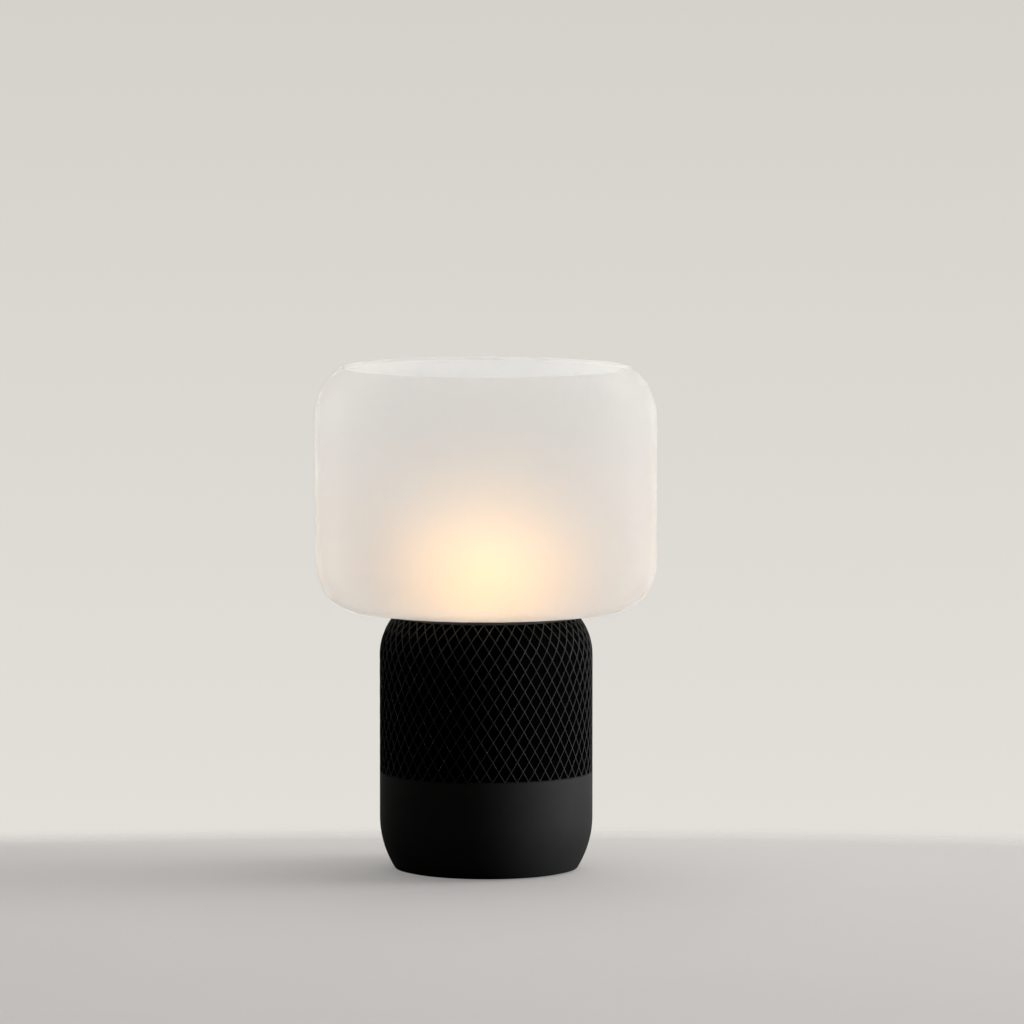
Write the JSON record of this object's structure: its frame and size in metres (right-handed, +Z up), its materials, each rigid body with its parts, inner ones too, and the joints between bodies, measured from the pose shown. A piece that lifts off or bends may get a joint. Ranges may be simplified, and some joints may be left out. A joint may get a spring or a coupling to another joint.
{
  "type": "table lamp speaker",
  "caption": "Black cylindrical speaker with a diamond grille, carrying a wide open-topped frosted glass lamp shade on a bayonet collar.",
  "frame": {"origin": "centre of the underside of the foot ring, on the table", "axes": "+Z up, -Y the side seen in the picture, with the sockets and buttons on +Y; X to the right seen from the front"},
  "size_m": [0.22, 0.22, 0.3255],
  "materials": {
    "housing": "fine matt texture, black",
    "grille": "matt black",
    "cloth": "woven acoustic cloth, black",
    "inner_plastic": "moulded, dark grey",
    "rubber": "matt black",
    "frosted_glass": "mouth-blown look, white frosted",
    "opal": "satin opal",
    "white_plastic": "satin white",
    "nickel": "plated",
    "brass": "plain",
    "steel": "zinc plated",
    "ferrite": "dark sintered",
    "cone": "pulp, black",
    "copper": "enamelled wire",
    "board": "solder mask",
    "aluminium": "bare",
    "clear": "clear light pipe"
  },
  "bodies": {
    "base": {"foot_ring": "rubber", "base_plate": "inner_plastic", "base_screw_1": "steel", "base_screw_2": "steel", "base_screw_3": "steel", "base_screw_4": "steel", "lower_housing": "housing", "volume_down_switch": "steel", "play_switch": "steel", "volume_up_switch": "steel", "light_switch": "steel", "pairing_switch": "steel", "button_board": "board", "status_light_pipe": "clear", "socket_bay": "inner_plastic", "mains_inlet": "inner_plastic", "inlet_pin_left": "nickel", "inlet_pin_right": "nickel", "network_jack": "steel", "power_board": "board", "main_board": "board", "transformer": "ferrite", "capacitor_1": "aluminium", "capacitor_2": "aluminium", "heat_sink": "aluminium", "radio_shield": "nickel", "bulkhead": "inner_plastic", "rear_chamber": "inner_plastic", "front_baffle": "inner_plastic", "woofer_basket": "steel", "woofer_magnet": "ferrite", "woofer_surround": "rubber", "woofer_spider": "cloth", "tweeter_flange": "inner_plastic", "tweeter_magnet": "ferrite", "grille": "grille", "grille_cloth": "cloth", "top_deck": "inner_plastic", "bayonet_collar": "inner_plastic", "lamp_holder": "white_plastic", "thread_sleeve": "brass", "centre_contact": "brass", "lamp_lead": "rubber"},
    "seat_washer_turning": {"seat_washer": "rubber"},
    "shade": {"glass_shade": "frosted_glass", "shade_adapter": "inner_plastic", "shade_clamp_ring": "inner_plastic"},
    "bulb": {"bulb_cap": "nickel", "bulb_body": "white_plastic", "bulb_dome": "opal", "led_module": "aluminium"},
    "woofer_moving": {"woofer_cone": "cone", "dust_cap": "cone", "voice_coil": "copper"},
    "tweeter_moving": {"tweeter_dome": "cloth"},
    "volume_down": {"volume_down_button": "housing"},
    "play": {"play_button": "housing"},
    "volume_up": {"volume_up_button": "housing"},
    "light": {"light_button": "housing"},
    "pairing": {"pairing_button": "housing"}
  },
  "joints": [
    {"name": "shade_turn", "type": "hinge", "parent": "base", "child": "seat_washer_turning", "pos_m": [0, 0, 0.163], "axis": [0, 0, 1], "range_deg": [0, 20]},
    {"name": "shade_lift", "type": "slide", "parent": "seat_washer_turning", "child": "shade", "axis": [0, 0, 1], "range_m": [0, 0.15]},
    {"name": "bulb_lift", "type": "slide", "parent": "base", "child": "bulb", "axis": [0, 0, 1], "range_m": [0, 0.1]},
    {"name": "woofer_travel", "type": "slide", "parent": "base", "child": "woofer_moving", "axis": [0, -1, 0], "range_m": [-0.003, 0.003], "stiffness_N_per_m": 900},
    {"name": "tweeter_travel", "type": "slide", "parent": "base", "child": "tweeter_moving", "axis": [0, -1, 0], "range_m": [-0.0003, 0.0003], "stiffness_N_per_m": 1500},
    {"name": "volume_down_press", "type": "slide", "parent": "base", "child": "volume_down", "axis": [0, -1, 0], "range_m": [0, 0.0008], "stiffness_N_per_m": 900},
    {"name": "play_press", "type": "slide", "parent": "base", "child": "play", "axis": [0, -1, 0], "range_m": [0, 0.0008], "stiffness_N_per_m": 900},
    {"name": "volume_up_press", "type": "slide", "parent": "base", "child": "volume_up", "axis": [0, -1, 0], "range_m": [0, 0.0008], "stiffness_N_per_m": 900},
    {"name": "light_press", "type": "slide", "parent": "base", "child": "light", "axis": [0, -1, 0], "range_m": [0, 0.0008], "stiffness_N_per_m": 900},
    {"name": "pairing_press", "type": "slide", "parent": "base", "child": "pairing", "axis": [0, -1, 0], "range_m": [0, 0.0008], "stiffness_N_per_m": 900}
  ]
}
